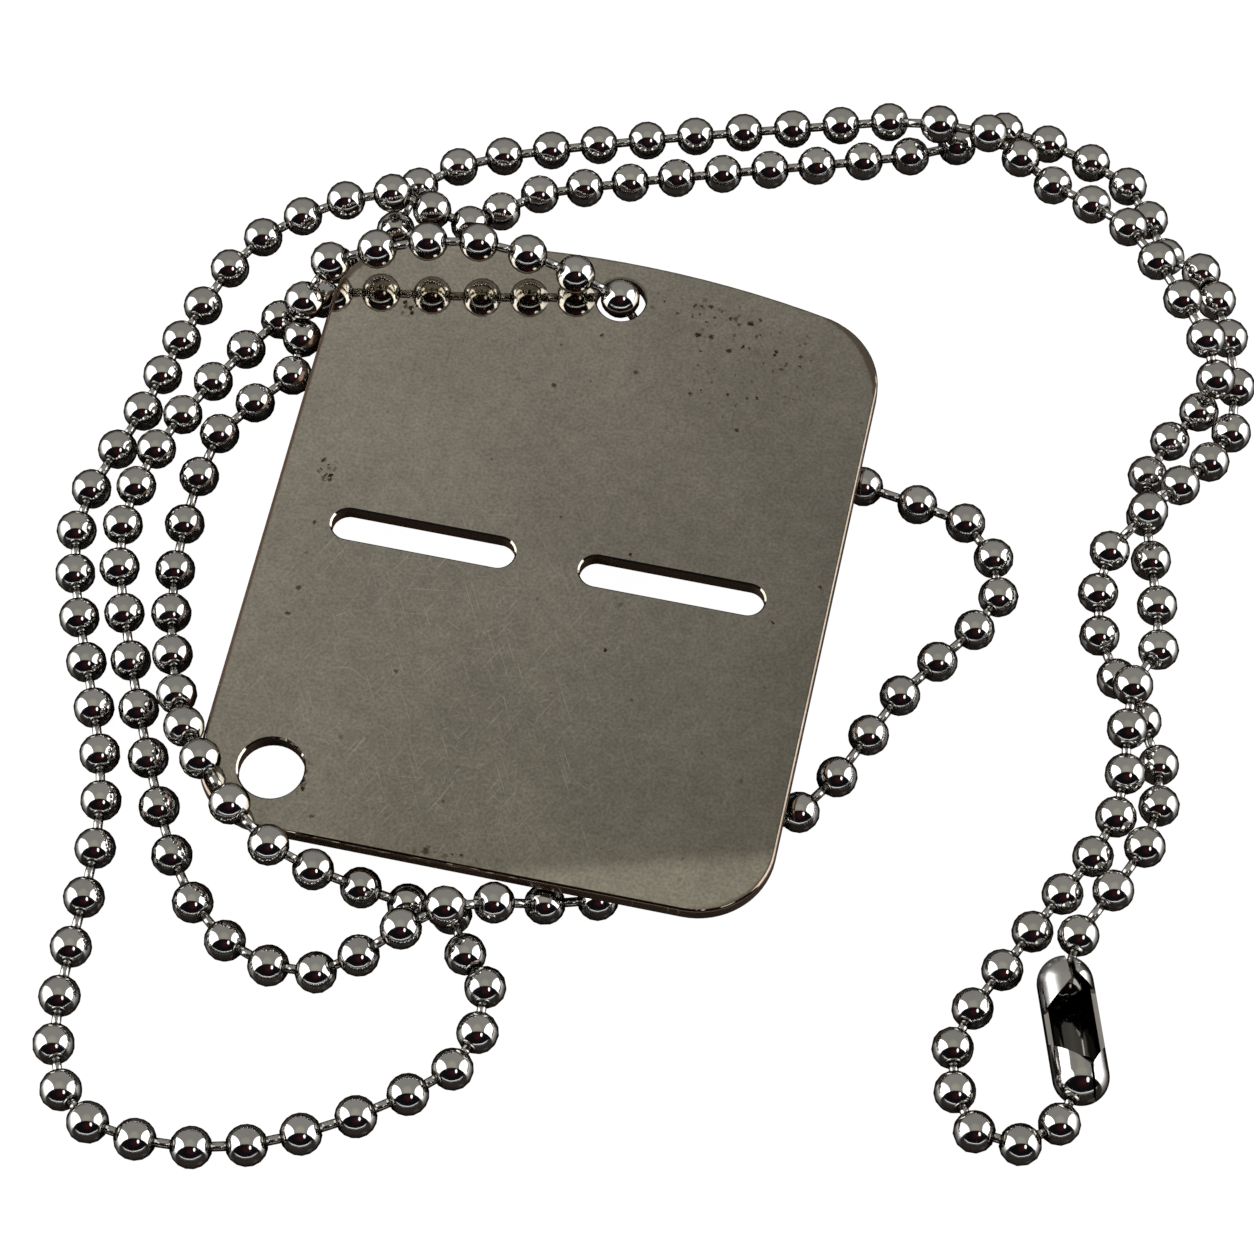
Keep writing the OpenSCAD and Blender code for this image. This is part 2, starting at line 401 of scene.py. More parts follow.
def specks_group():
    """Round specks of many sizes that thin out away from a middle."""
    name = "specks"
    if name in bpy.data.node_groups:
        return bpy.data.node_groups[name]
    group, start, end = new_group(
        name,
        "ShaderNodeTree",
        [
            ("Vector", "Vector", None),
            ("Middle", "Vector", (0.0, 0.0, 0.0)),
            ("Reach", "Vector", (3.0, 3.0, 3.0)),
            ("Spacing", "Float", 1.0),
            ("Size", "Float", 0.2),
            ("Share", "Float", 0.5),
        ],
        [("Mask", "Float", None)],
    )
    offset = vector(group, "SUBTRACT", start["Vector"], start["Middle"])
    far = vector(group, "LENGTH", vector(group, "DIVIDE", offset, start["Reach"]))
    near = ramp(group, far, 1.0, 0.0)
    rough = put(
        group,
        "ShaderNodeTexNoise",
        {"Vector": start["Vector"], "Scale": 6.0, "Detail": 3.0},
    )
    warp = scaled(group, rough.outputs["Color"], 0.42)
    bent = vector(group, "ADD", start["Vector"], warp)
    cells = put(
        group,
        "ShaderNodeTexVoronoi",
        {"Vector": bent, "Scale": calc(group, "DIVIDE", 1.0, start["Spacing"])},
        voronoi_dimensions="2D",
    )
    chance = put(group, "ShaderNodeSeparateColor", {0: cells.outputs["Color"]})
    kept = calc(group, "MULTIPLY", start["Share"], near)
    kept = calc(group, "SUBTRACT", kept, chance.outputs[0])
    kept = ramp(group, kept, 0.0, 0.25)
    width = calc(group, "DIVIDE", start["Size"], start["Spacing"])
    width = calc(group, "MULTIPLY", width, calc(group, "ADD", chance.outputs[1], 0.35))
    inner = calc(group, "MULTIPLY", width, 0.4)
    dot = ramp(group, cells.outputs["Distance"], width, inner)
    dot = calc(group, "MULTIPLY", dot, calc(group, "MULTIPLY_ADD", chance.outputs[2], 0.6, 0.4))
    feed(group, calc(group, "MULTIPLY", dot, kept), end["Mask"])
    return group


def specks(tree, at, middle, reach, spacing, size, part):
    """A mask of specks round a middle."""
    wires = {
        "Vector": at,
        "Middle": (*middle, 0.0),
        "Reach": (*reach, 50.0),
        "Spacing": spacing,
        "Size": size,
        "Share": part,
    }
    node = put(tree, "ShaderNodeGroup", wires, node_tree=specks_group())
    return node.outputs["Mask"]


def strongest(tree, *masks):
    """The strongest of several masks."""
    mask = masks[0]
    for other in masks[1:]:
        mask = calc(tree, "MAXIMUM", mask, other)
    return mask


# Materials


def new_material(name, colour, rough):
    """A plain metal, with its tree and its shader node."""
    material = bpy.data.materials.new(name)
    material.use_nodes = True
    material.diffuse_color = rgba(colour)
    tree = material.node_tree
    shader = tree.nodes["Principled BSDF"]
    shader.inputs["Base Color"].default_value = rgba(colour)
    shader.inputs["Metallic"].default_value = 1.0
    shader.inputs["Roughness"].default_value = rough
    return material, tree, shader


def mottle(tree, at, scale, detail):
    """Plain noise at this many patches to the millimetre."""
    node = put(
        tree,
        "ShaderNodeTexNoise",
        {"Vector": at, "Scale": scale, "Detail": detail, "Roughness": 0.6},
    )
    return node.outputs[0]


def in_from_rim(tree, at, s):
    """Distance in from the plate's outline, in millimetres."""
    half_width = s.width / 2 / MM
    half_length = s.length / 2 / MM
    corner = s.corner / MM
    arch = s.arch / MM
    side = calc(tree, "SUBTRACT", half_width, calc(tree, "ABSOLUTE", part_of(tree, at, "X")))
    foot = calc(tree, "ADD", part_of(tree, at, "Y"), half_length)
    spread = vector(tree, "SUBTRACT", at, (0.0, half_length - arch, 0.0))
    spread = vector(tree, "LENGTH", vector(tree, "MULTIPLY", spread, (1.0, 1.0, 0.0)))
    head = calc(tree, "SUBTRACT", arch, spread)
    ends = calc(tree, "MINIMUM", foot, head)
    short_x = calc(tree, "MAXIMUM", calc(tree, "SUBTRACT", corner, side), 0.0)
    short_y = calc(tree, "MAXIMUM", calc(tree, "SUBTRACT", corner, ends), 0.0)
    pair = put(tree, "ShaderNodeCombineXYZ", {"X": short_x, "Y": short_y})
    return calc(tree, "SUBTRACT", corner, vector(tree, "LENGTH", pair.outputs[0]))


def scratched(tree, at):
    """A mask of the plate's scratches, which thin out away from its lower left."""
    scratch = strongest(tree, *(hairlines(tree, at, *row) for row in SCRATCHES))
    far = vector(tree, "DISTANCE", at, (-6.0, -10.0, 0.0))
    return calc(tree, "MULTIPLY", scratch, ramp(tree, far, 18.0, 6.0, 0.25, 1.0))


def sides_of_plate(tree, at, rim):
    """A mask of the plate's sides and of its rounded left edge."""
    facing = put(tree, "ShaderNodeNewGeometry").outputs["Normal"]
    level = calc(tree, "ABSOLUTE", part_of(tree, facing, "Z"))
    left = ramp(tree, part_of(tree, at, "X"), -15.9, -16.5)
    left = calc(tree, "MULTIPLY", left, ramp(tree, rim, 0.35, 0.15))
    return calc(tree, "MAXIMUM", ramp(tree, level, 0.75, 0.3), left)


def steel_with_painted_reflection(tree, at, fine, s):
    """The steel's colour: broad patches and a grain, with painted reflected light that grows
    lighter towards the left and the top, and a painted reflection in the lower right corner.
    """
    patches = blend_colour(
        tree,
        ramp(tree, mottle(tree, at, 0.12, 3.0), 0.3, 0.7),
        rgba(s.steel, 0.92),
        rgba(s.steel, 1.08),
    )
    # Painted reflected light: the plate grows slowly lighter towards the left and the top.
    tone = calc(tree, "MULTIPLY_ADD", part_of(tree, at, "X"), -0.0175, 1.10)
    tone = calc(tree, "MULTIPLY_ADD", part_of(tree, at, "Y"), 0.0078, tone)
    # The lower right corner is lighter: a painted reflection of a light part of the room.
    low = vector(tree, "DOT_PRODUCT", at, (-0.28, 0.963, 0.0))
    tone = calc(tree, "ADD", tone, ramp(tree, low, -19.7, -21.1, 0.0, 0.6))
    grain = mottle(tree, at, 5.0, 2.0)
    tone = calc(tree, "MULTIPLY", tone, ramp(tree, grain, 0.25, 0.8, 1.17, 0.76))
    tone = calc(tree, "MULTIPLY", tone, ramp(tree, fine, 0.25, 0.75, 1.08, 0.90))
    return scaled(tree, patches, tone)


def browned_sides(tree, at, s):
    """The brown of the sides, with bright upright ticks."""
    upright = put(
        tree, "ShaderNodeMapping", {"Vector": at, "Scale": (1.0, 1.0, 0.1)}
    ).outputs[0]
    ticks = ramp(tree, mottle(tree, upright, 3.5, 2.0), 0.68, 0.76)
    return blend_colour(tree, ticks, rgba(s.side), rgba(s.steel, 1.2))


def tag_steel(s):
    """Bright steel with hairlines, mottling, painted reflections, rust specks and browned
    sides.
    """
    material, tree, shader = new_material("tag_steel", s.steel, s.rough)
    where = put(tree, "ShaderNodeTexCoord")
    lay = put(
        tree,
        "ShaderNodeMapping",
        {
            "Vector": where.outputs["Object"],
            "Location": s.middle,
            "Rotation": (0.0, 0.0, s.turn),
            "Scale": (MM, MM, MM),
        },
        vector_type="TEXTURE",
    )
    at = lay.outputs[0]
    fine = mottle(tree, at, 1.1, 4.0)
    scratch = scratched(tree, at)
    lit = calc(tree, "MULTIPLY", scratch, s.scratches)
    spots = strongest(tree, *(specks(tree, at, *row) for row in RUST))
    spots = calc(tree, "MULTIPLY", spots, s.spots)
    rim = in_from_rim(tree, at, s)
    side = sides_of_plate(tree, at, rim)

    colour = blend_colour(tree, lit, steel_with_painted_reflection(tree, at, fine, s), SCRATCH_LIGHT)
    browned = ramp(tree, calc(tree, "MULTIPLY_ADD", fine, -0.2, rim), 0.2, -0.05)
    clouds = specks(tree, at, *STAIN)
    stain = calc(tree, "MAXIMUM", browned, calc(tree, "MULTIPLY", clouds, 0.35))
    colour = blend_colour(tree, calc(tree, "MULTIPLY", stain, 0.7), colour, rgba(s.side))
    spotted = calc(tree, "MULTIPLY", spots, 1.2, clamp=True)
    colour = blend_colour(tree, spotted, colour, rgba(s.tarnish))
    colour = blend_colour(tree, side, colour, browned_sides(tree, at, s))
    feed(tree, colour, shader.inputs["Base Color"])
    metal = calc(tree, "MULTIPLY_ADD", side, -0.18, 1.0)
    feed(tree, metal, shader.inputs["Metallic"])

    rough = ramp(tree, fine, 0.3, 0.75, s.rough * 0.7, s.rough * 1.6)
    for mask, more in ((lit, 0.35), (spots, 0.05), (side, 0.1)):
        rough = calc(tree, "MULTIPLY_ADD", mask, more, rough)
    feed(tree, rough, shader.inputs["Roughness"])

    relief = calc(tree, "MULTIPLY", scratch, -0.5)
    relief = calc(tree, "MULTIPLY_ADD", spots, -1.0, relief)
    relief = calc(tree, "MULTIPLY_ADD", fine, 0.25, relief)
    bump = put(
        tree,
        "ShaderNodeBump",
        {"Height": relief, "Strength": 0.2, "Distance": 0.01 * MM},
    )
    feed(tree, bump.outputs[0], shader.inputs["Normal"])
    return material


def stored(tree, layer):
    """What the mesh stores under this name."""
    return put(tree, "ShaderNodeAttribute", attribute_name=layer).outputs["Fac"]


def plating(name, s, wave, wave_size):
    """Bright plating with faint smudges, a dark colour painted round the holes and, as painted
    shade, inside the clasp, and a wavy skin.
    """
    material, tree, shader = new_material(name, s.chrome, s.rough)
    shader.inputs["Specular Tint"].default_value = rgba(s.edge)
    where = put(tree, "ShaderNodeTexCoord")
    at = scaled(tree, where.outputs["Object"], 1 / MM)
    smudge = mottle(tree, at, 1.1, 4.0)
    tone, grime, mat = (stored(tree, layer) for layer in ("tone", "grime", "mat"))

    colour = blend_colour(tree, tone, rgba(s.chrome, 0.93), rgba(s.chrome, 1.05))
    dull = calc(tree, "MULTIPLY", ramp(tree, smudge, 0.5, 0.8), 0.35)
    colour = blend_colour(tree, dull, colour, rgba(s.chrome, 0.7))
    colour = blend_colour(tree, mat, colour, rgba(s.chrome, 0.9))
    # Darker where the mesh marks it: the hollows round the holes, and painted shade inside the
    # clasp and on its balls.
    darkened = calc(tree, "MULTIPLY", grime, 0.95)
    colour = blend_colour(tree, darkened, colour, PAINTED_DARK)
    feed(tree, colour, shader.inputs["Base Color"])

    rough = ramp(tree, smudge, 0.35, 0.8, s.rough * 0.7, s.rough * 1.8)
    rough = calc(tree, "MULTIPLY_ADD", mat, 0.3, rough)
    rough = calc(tree, "MULTIPLY_ADD", grime, 0.02, rough)
    feed(tree, rough, shader.inputs["Roughness"])

    skin = put(
        tree,
        "ShaderNodeTexNoise",
        {"Vector": at, "Scale": 1 / wave_size, "Detail": 1.5, "Roughness": 0.45},
    )
    bump = put(
        tree,
        "ShaderNodeBump",
        {"Height": skin.outputs[0], "Strength": wave, "Distance": 0.05 * MM},
    )
    feed(tree, bump.outputs[0], shader.inputs["Normal"])
    return material


# Reading the frame


def welded(node):
    """A CAD node's points and triangles with its doubles merged."""
    mesh = NODES[node].data
    points = np.empty(len(mesh.vertices) * 3, np.float32)
    mesh.vertices.foreach_get("co", points)
    points = points.reshape(-1, 3)
    corners = np.empty(len(mesh.loops), np.int32)
    mesh.loops.foreach_get("vertex_index", corners)
    cells = np.round(points / WELD).astype(np.int64) + (1 << 20)
    keys = (cells[:, 0] << 42) + (cells[:, 1] << 21) + cells[:, 2]
    _, first, merged = np.unique(keys, return_index=True, return_inverse=True)
    return points[first].astype(float), merged[corners].reshape(-1, 3)


def loose_parts(points, triangles):
    """The points of each loose part."""
    label = np.arange(len(points))
    while True:
        lowest = label[triangles].min(axis=1)
        spread = label.copy()
        np.minimum.at(spread, triangles.ravel(), np.repeat(lowest, 3))
        spread = spread[spread]
        if np.array_equal(spread, label):
            break
        label = spread
    order = np.argsort(label, kind="stable")
    cuts = np.nonzero(np.diff(label[order]))[0] + 1
    return [points[part] for part in np.split(order, cuts)]


def sphere_middle(points, radius, guess):
    """The middle of a sphere of this radius that many of the points lie on.

    Each round fits it to the points that are near the last round's sphere.
    """
    middle = guess
    for reach in (0.5, 0.3, 0.15, 0.05, 0.02, 0.02):
        arm = points - middle
        far = np.linalg.norm(arm, axis=1)
        on = np.abs(far - radius) < reach * radius
        step = np.linalg.lstsq(arm[on] / far[on, None], far[on] - radius, rcond=None)
        middle = middle + step[0]
    return middle


def read_balls(node, s):
    """Each ball of a CAD chain node: its middle, and where the next one is."""
    found = []
    for part in loose_parts(*welded(node)):
        mean = part.mean(axis=0)
        near = part[np.linalg.norm(part - mean, axis=1) < 0.75 * s.ball]
        middle = sphere_middle(part, s.ball / 2, near.mean(axis=0))
        far = part[np.linalg.norm(part - middle, axis=1) > 0.9 * s.ball]
        if len(far):
            head = sphere_middle(far, s.head / 2, far.mean(axis=0))
            arm = head - middle
            length = np.linalg.norm(arm)
            following = middle + arm * (1 + s.head_back / length)
        else:
            following = None
        found.append((middle, following))
    return found


def chain_order(balls):
    """The balls' numbers from the first to the last along the chain."""
    middles = np.array([middle for middle, _ in balls])
    after = {}
    for number, (_, following) in enumerate(balls):
        if following is not None:
            after[number] = int(np.linalg.norm(middles - following, axis=1).argmin())
    number = (set(range(len(balls))) - set(after.values())).pop()
    order = [number]
    while number in after:
        number = after[number]
        order.append(number)
    if len(order) != len(balls):
        raise RuntimeError("the balls don't make one chain")
    return order


# Pieces


def new_piece(name, mesh):
    """An object of this mesh at the origin."""
    piece = bpy.data.objects.new(name, mesh)
    bpy.context.scene.collection.objects.link(piece)
    return piece


def settle(piece):
    """Turns what a piece's modifiers make into its plain mesh."""
    bpy.context.view_layer.update()
    graph = bpy.context.evaluated_depsgraph_get()
    mesh = bpy.data.meshes.new_from_object(
        piece.evaluated_get(graph), preserve_all_data_layers=True, depsgraph=graph
    )
    mesh.name = piece.name
    piece.modifiers.clear()
    old = piece.data
    piece.data = mesh
    bpy.data.meshes.remove(old)
    return piece


def finish_piece(piece, slot, *nodes):
    """Gives a piece its body and hides the CAD nodes it stands for; its slot is not used."""
    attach(piece, "root")
    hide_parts(*nodes)
    return piece


def merged_copy(node, name):
    """A CAD node's shape as one closed mesh."""
    points, triangles = welded(node)
    mesh = bpy.data.meshes.new(name)
    mesh.from_pydata(points.tolist(), [], triangles.tolist())
    mesh.validate()
    return mesh


def sharpen(mesh, degrees):
    """Smooth faces that keep edges sharper than this angle crisp."""
    shape = bmesh.new()
    shape.from_mesh(mesh)
    limit = math.radians(degrees)
    for face in shape.faces:
        face.smooth = True
    for edge in shape.edges:
        edge.smooth = edge.is_manifold and edge.calc_face_angle(math.pi) < limit
    shape.to_mesh(mesh)
    shape.free()


def named(tree, kind, name):
    """Reads an attribute inside a geometry tree."""
    node = put(
        tree, "GeometryNodeInputNamedAttribute", {"Name": name}, data_type=kind
    )
    return next(socket for socket in node.outputs if socket.enabled)


def keep(tree, geometry, kind, domain, name, value):
    """Stores an attribute inside a geometry tree."""
    node = put(
        tree,
        "GeometryNodeStoreNamedAttribute",
        {"Geometry": geometry, "Name": name},
        data_type=kind,
        domain=domain,
    )
    socket = next(s for s in node.inputs if s.enabled and s.name == "Value")
    feed(tree, value, socket)
    return node.outputs["Geometry"]


def ball_shape(tree, start):
    """A ball with a hollow at each pole, where the rods go in."""
    radius = calc(tree, "DIVIDE", start["Ball Diameter"], 2.0)
    globe = put(
        tree,
        "GeometryNodeMeshUVSphere",
        {"Segments": start["Sides"], "Rings": start["Rings"], "Radius": radius},
    )
    at = put(tree, "GeometryNodeInputPosition").outputs[0]
    seat = keep(tree, globe.outputs["Mesh"], "FLOAT_VECTOR", "POINT", "seat", at)
    up = part_of(tree, at, "Z")
    level = calc(tree, "DIVIDE", calc(tree, "ABSOLUTE", up), radius)
    # Darker in the hollow round each hole.
    hole_darkening = ramp(tree, level, 0.9, 1.0)
    seat = keep(tree, seat, "FLOAT", "POINT", "grime", hole_darkening)
    sunk = calc(tree, "MULTIPLY", calc(tree, "SIGN", up), start["Dimple"])
    sunk = calc(tree, "MULTIPLY", sunk, -1.0)
    shift = put(tree, "ShaderNodeCombineXYZ", {"Z": sunk})
    moved = put(
        tree,
        "GeometryNodeSetPosition",
        {
            "Geometry": seat,
            "Selection": calc(tree, "GREATER_THAN", level, 0.995),
            "Offset": shift.outputs[0],
        },
    )
    return moved.outputs[0], radius


def balls_on(tree, start, balls, radius):
    """A ball on each marked point, bent so that its holes face both rods."""
    source = keep(
        tree,
        start["Geometry"],
        "FLOAT_VECTOR",
        "POINT",
        "spot",
        put(tree, "GeometryNodeInputPosition").outputs[0],
    )
    chance = put(
        tree,
        "FunctionNodeRandomValue",
        {"Seed": start["Seed"]},
        data_type="FLOAT",
    )
    value = next(s for s in chance.outputs if s.enabled)
    source = keep(tree, source, "FLOAT", "POINT", "tone", value)
    dots = put(
        tree,
        "GeometryNodeMeshToPoints",
        {"Mesh": source, "Selection": named(tree, "BOOLEAN", "is_ball")},
        mode="VERTICES",
    )
    aim = put(
        tree,
        "FunctionNodeAlignRotationToVector",
        {"Vector": named(tree, "FLOAT_VECTOR", "along")},
        axis="Z",
    )
    placed = put(
        tree,
        "GeometryNodeInstanceOnPoints",
        {
            "Points": dots.outputs[0],
            "Instance": balls,
            "Rotation": aim.outputs[0],
        },
    )
    real = put(tree, "GeometryNodeRealizeInstances", {"Geometry": placed.outputs[0]})
    seat = named(tree, "FLOAT_VECTOR", "seat")
    level = calc(tree, "DIVIDE", part_of(tree, seat, "Z"), radius)
    part = ramp(tree, level, -0.87, 0.87, -1.0, 1.0, "LINEAR")
    turned = put(
        tree,
        "ShaderNodeVectorRotate",
        {
            "Vector": put(tree, "GeometryNodeInputPosition").outputs[0],
            "Center": named(tree, "FLOAT_VECTOR", "spot"),
            "Axis": named(tree, "FLOAT_VECTOR", "hinge"),
            "Angle": calc(tree, "MULTIPLY", part, named(tree, "FLOAT", "bend")),
        },
        rotation_type="AXIS_ANGLE",
    )
    bent = put(
        tree,
        "GeometryNodeSetPosition",
        {"Geometry": real.outputs[0], "Position": turned.outputs[0]},
    )
    return bent.outputs[0]


def rods_on(tree, start):
    """A rod along each edge, with its ends inside the balls."""
    ends = put(tree, "GeometryNodeInputMeshEdgeVertices")
    stretch = vector(tree, "SUBTRACT", ends.outputs["Position 2"], ends.outputs["Position 1"])
    source = keep(tree, start["Geometry"], "FLOAT_VECTOR", "EDGE", "stretch", stretch)
    mids = put(tree, "GeometryNodeMeshToPoints", {"Mesh": source}, mode="EDGES")
    rod = put(
        tree,
        "GeometryNodeMeshCylinder",
        {
            "Vertices": 10,
            "Radius": calc(tree, "DIVIDE", start["Rod Diameter"], 2.0),
            "Depth": 1.0,
        },
    )
    dull = keep(tree, rod.outputs["Mesh"], "FLOAT", "POINT", "mat", 0.45)
    gap = named(tree, "FLOAT_VECTOR", "stretch")
    length = calc(tree, "SUBTRACT", vector(tree, "LENGTH", gap), start["Ball Diameter"])
    length = calc(tree, "MULTIPLY_ADD", start["Dimple"], 2.0, length)
    scale = put(tree, "ShaderNodeCombineXYZ", {"X": 1.0, "Y": 1.0, "Z": length})
    aim = put(tree, "FunctionNodeAlignRotationToVector", {"Vector": gap}, axis="Z")
    placed = put(
        tree,
        "GeometryNodeInstanceOnPoints",
        {
            "Points": mids.outputs[0],
            "Instance": dull,
            "Rotation": aim.outputs[0],
            "Scale": scale.outputs[0],
        },
    )
    return placed.outputs[0]


def bead_run_tree():
    """The geometry tree that strings balls and rods along a line of points."""
    name = "bead_run"
    if name in bpy.data.node_groups:
        return bpy.data.node_groups[name]
    tree, start, end = new_group(
        name,
        "GeometryNodeTree",
        [
            ("Geometry", "Geometry", None),
            ("Ball Diameter", "Float", 2.4 * MM),
            ("Dimple", "Float", 0.4 * MM),
            ("Rod Diameter", "Float", 0.55 * MM),
            ("Sides", "Int", 16),
            ("Rings", "Int", 9),
            ("Seed", "Int", 7),
            ("Material", "Material", None),
        ],
        [("Geometry", "Geometry", None)],
    )
    shape, radius = ball_shape(tree, start)
    balls = balls_on(tree, start, shape, radius)
    rods = rods_on(tree, start)
    joined = put(tree, "GeometryNodeJoinGeometry")
    for part in (balls, rods):
        tree.links.new(part, joined.inputs[0])
    real = put(tree, "GeometryNodeRealizeInstances", {"Geometry": joined.outputs[0]})
    smooth = put(tree, "GeometryNodeSetShadeSmooth", {"Geometry": real.outputs[0]})
    painted = put(
        tree,
        "GeometryNodeSetMaterial",
        {"Geometry": smooth.outputs[0], "Material": start["Material"]},
    )
    feed(tree, painted.outputs[0], end["Geometry"])
    return tree


def set_inputs(modifier, values):
    """Sets a geometry modifier's inputs, found by name, through their identifiers."""
    for item in modifier.node_group.interface.items_tree:
        if item.item_type == "SOCKET" and item.in_out == "INPUT" and item.name in values:
            modifier[item.identifier] = values[item.name]


# What only the tree needs, dropped once it has run.
SCAFFOLD = ("seat", "spot", "along", "hinge", "bend", "is_ball", "stretch")


def bead_points(name, spots, count):
    """A line of points for the tree: the first count of them carry a ball."""
    mesh = bpy.data.meshes.new(name)
    links = [(i, i + 1) for i in range(len(spots) - 1)]
    mesh.from_pydata([tuple(spot[0]) for spot in spots], links, [])
    for key, kind, column in (
        ("along", "FLOAT_VECTOR", 1),
        ("hinge", "FLOAT_VECTOR", 2),
    ):
        layer = mesh.attributes.new(key, kind, "POINT")
        layer.data.foreach_set("vector", np.ravel([spot[column] for spot in spots]))
    layer = mesh.attributes.new("bend", "FLOAT", "POINT")
    layer.data.foreach_set("value", [spot[3] for spot in spots])
    layer = mesh.attributes.new("is_ball", "BOOLEAN", "POINT")
    layer.data.foreach_set("value", [i < count for i in range(len(spots))])
    return mesh


def unit(v):
    """A vector of length one."""
    return v / np.linalg.norm(v)


def bends(route):
    """For each ball: its middle, its line, the axis it bends about and half its bend."""
    spots = []
    for i, here in enumerate(route):
        ahead = unit(route[i + 1] - here) if i + 1 < len(route) else None
        behind = unit(route[i - 1] - here) if i > 0 else None
        if ahead is None:
            ahead = -behind
        if behind is None:
            behind = -ahead
        along = unit(ahead - behind)
        hinge = np.cross(along, ahead)
        half = float(np.linalg.norm(hinge))
        if half < 1e-4:
            hinge = np.cross(along, (0.0, 0.0, 1.0) if abs(along[2]) < 0.9 else (1.0, 0.0, 0.0))
            half = 0.0
        spots.append((here, along, unit(hinge), math.asin(min(half, 1.0))))
    return spots


def string_beads(name, run, count, seed, material, s):
    """A piece with a ball on each of the first points and a rod on each link."""
    piece = new_piece(name, bead_points(name, run, count))
    modifier = piece.modifiers.new("beads", "NODES")
    modifier.node_group = bead_run_tree()
    set_inputs(
        modifier,
        {
            "Ball Diameter": s.ball,
            "Dimple": s.dimple,
            "Rod Diameter": s.rod,
            "Sides": s.sides,
            "Rings": s.rings,
            "Seed": seed,
            "Material": material,
        },
    )
    settle(piece)
    for layer in list(piece.data.attributes):
        if layer.name in SCAFFOLD:
            piece.data.attributes.remove(layer)
    return piece


class IDTAG_OT_chain(bpy.types.Operator):
    """Strings the balls and rods of both halves of the chain"""

    bl_idname = "idtag.chain"
    bl_label = "Ball chain"

    def execute(self, context):
        s = context.scene.id_tag_chain
        balls = read_balls("chain_inner", s)
        cut = len(balls)
        balls += read_balls("chain_outer", s)
        spots = bends(np.array([balls[i][0] for i in chain_order(balls)]))
        material = plating("chain_chrome", s, wave=0.12, wave_size=1.2)
        for name, first, last in (
            ("chain_inner_half", 0, cut),
            ("chain_outer_half", cut, len(spots)),
        ):
            run = spots[first : last + 1]
            piece = string_beads(name, run, last - first, s.seed + first, material, s)
            shade_inside(piece.data, context.scene.id_tag_clasp)
            finish_piece(piece, "chain_metal", name.removesuffix("_half"))
        return {"FINISHED"}


def clasp_line(clasp):
    """The clasp's middle, its direction and half the length of its straight part."""
    axis = Vector((math.cos(clasp.turn), math.sin(clasp.turn), 0.0))
    return Vector(clasp.middle), axis, (clasp.length - clasp.width) / 2


def arm(line, point):
    """From the nearest place on the clasp's middle line to a point."""
    middle, axis, half = line
    slide = max(-half, min(half, (point - middle).dot(axis)))
    return point - middle - axis * slide


def shade_inside(mesh, clasp):
    """Paints shade on the balls that sit inside the clasp."""
    line = clasp_line(clasp)
    grime = mesh.attributes["grime"].data
    for vertex in mesh.vertices:
        if arm(line, vertex.co).length < clasp.width / 2 - clasp.sheet:
            grime[vertex.index].value = 1.0


class IDTAG_OT_plate(bpy.types.Operator):
    """Makes the worn steel plate"""

    bl_idname = "idtag.plate"
    bl_label = "Tag plate"

    def execute(self, context):
        s = context.scene.id_tag_plate
        piece = new_piece("tag", merged_copy("tag_plate", "tag"))
        sharpen(piece.data, 30)
        weights = piece.modifiers.new("even", "WEIGHTED_NORMAL")
        weights.keep_sharp = True
        settle(piece)
        piece.data.materials.append(tag_steel(s))
        finish_piece(piece, "tag_steel", "tag_plate")
        return {"FINISHED"}


def dress_clasp(mesh, s):
    """Gives the clasp true round normals, painted shade on its inside and one worn lobe."""
    line = clasp_line(s)
    middle, axis, half = line
    outer = s.width / 2
    inner = outer - s.sheet
    normals = []
    inside = np.zeros(len(mesh.polygons))
    dull = np.zeros(len(mesh.polygons))
    for face in mesh.polygons:
        face.use_smooth = True
        arms = [arm(line, mesh.vertices[i].co) for i in face.vertices]
        away = face.center - middle
        if away.dot(axis) > half * 0.6 and away.x < 0.12 * s.width:
            dull[face.index] = 0.8  # the worn lobe at the upper left
        if all(abs(a.length - outer) < ON_SKIN for a in arms):
            normals.extend(a.normalized() for a in arms)
        elif all(abs(a.length - inner) < ON_SKIN for a in arms):
            normals.extend(-a.normalized() for a in arms)
            # The inner skin gets painted shade.
            inside[face.index] = 1.0
        else:
            normals.extend(face.normal for _ in arms)
    mesh.normals_split_custom_set(normals)
    for name, values in (("grime", inside), ("mat", dull)):
        layer = mesh.attributes.new(name, "FLOAT", "FACE")
        layer.data.foreach_set("value", values)


class IDTAG_OT_clasp(bpy.types.Operator):
    """Makes the bent sheet clasp"""

    bl_idname = "idtag.clasp"
    bl_label = "Clasp"

    def execute(self, context):
        s = context.scene.id_tag_clasp
        chain = context.scene.id_tag_chain
        mesh = merged_copy("clasp", "clasp_shell")
        dress_clasp(mesh, s)
        piece = new_piece("clasp_shell", mesh)
        mesh.materials.append(plating("clasp_chrome", chain, s.dents, wave_size=1.6))
        finish_piece(piece, "clasp_metal", "clasp")
        return {"FINISHED"}


def floor_material(s):
    """A plain floor that the camera sees as white and the metal mirrors dark."""
    material = bpy.data.materials.new("floor_paper")
    material.use_nodes = True
    tree = material.node_tree
    shader = tree.nodes["Principled BSDF"]
    shader.inputs["Base Color"].default_value = rgba(s.floor)
    shader.inputs["Roughness"].default_value = 0.2
    shader.inputs["IOR"].default_value = 1.45
    seen = put(tree, "ShaderNodeLightPath").outputs["Is Camera Ray"]
    shader.inputs["Emission Color"].default_value = (1.0, 1.0, 1.0, 1.0)
    feed(tree, calc(tree, "MULTIPLY", seen, s.glow), shader.inputs["Emission Strength"])
    return material


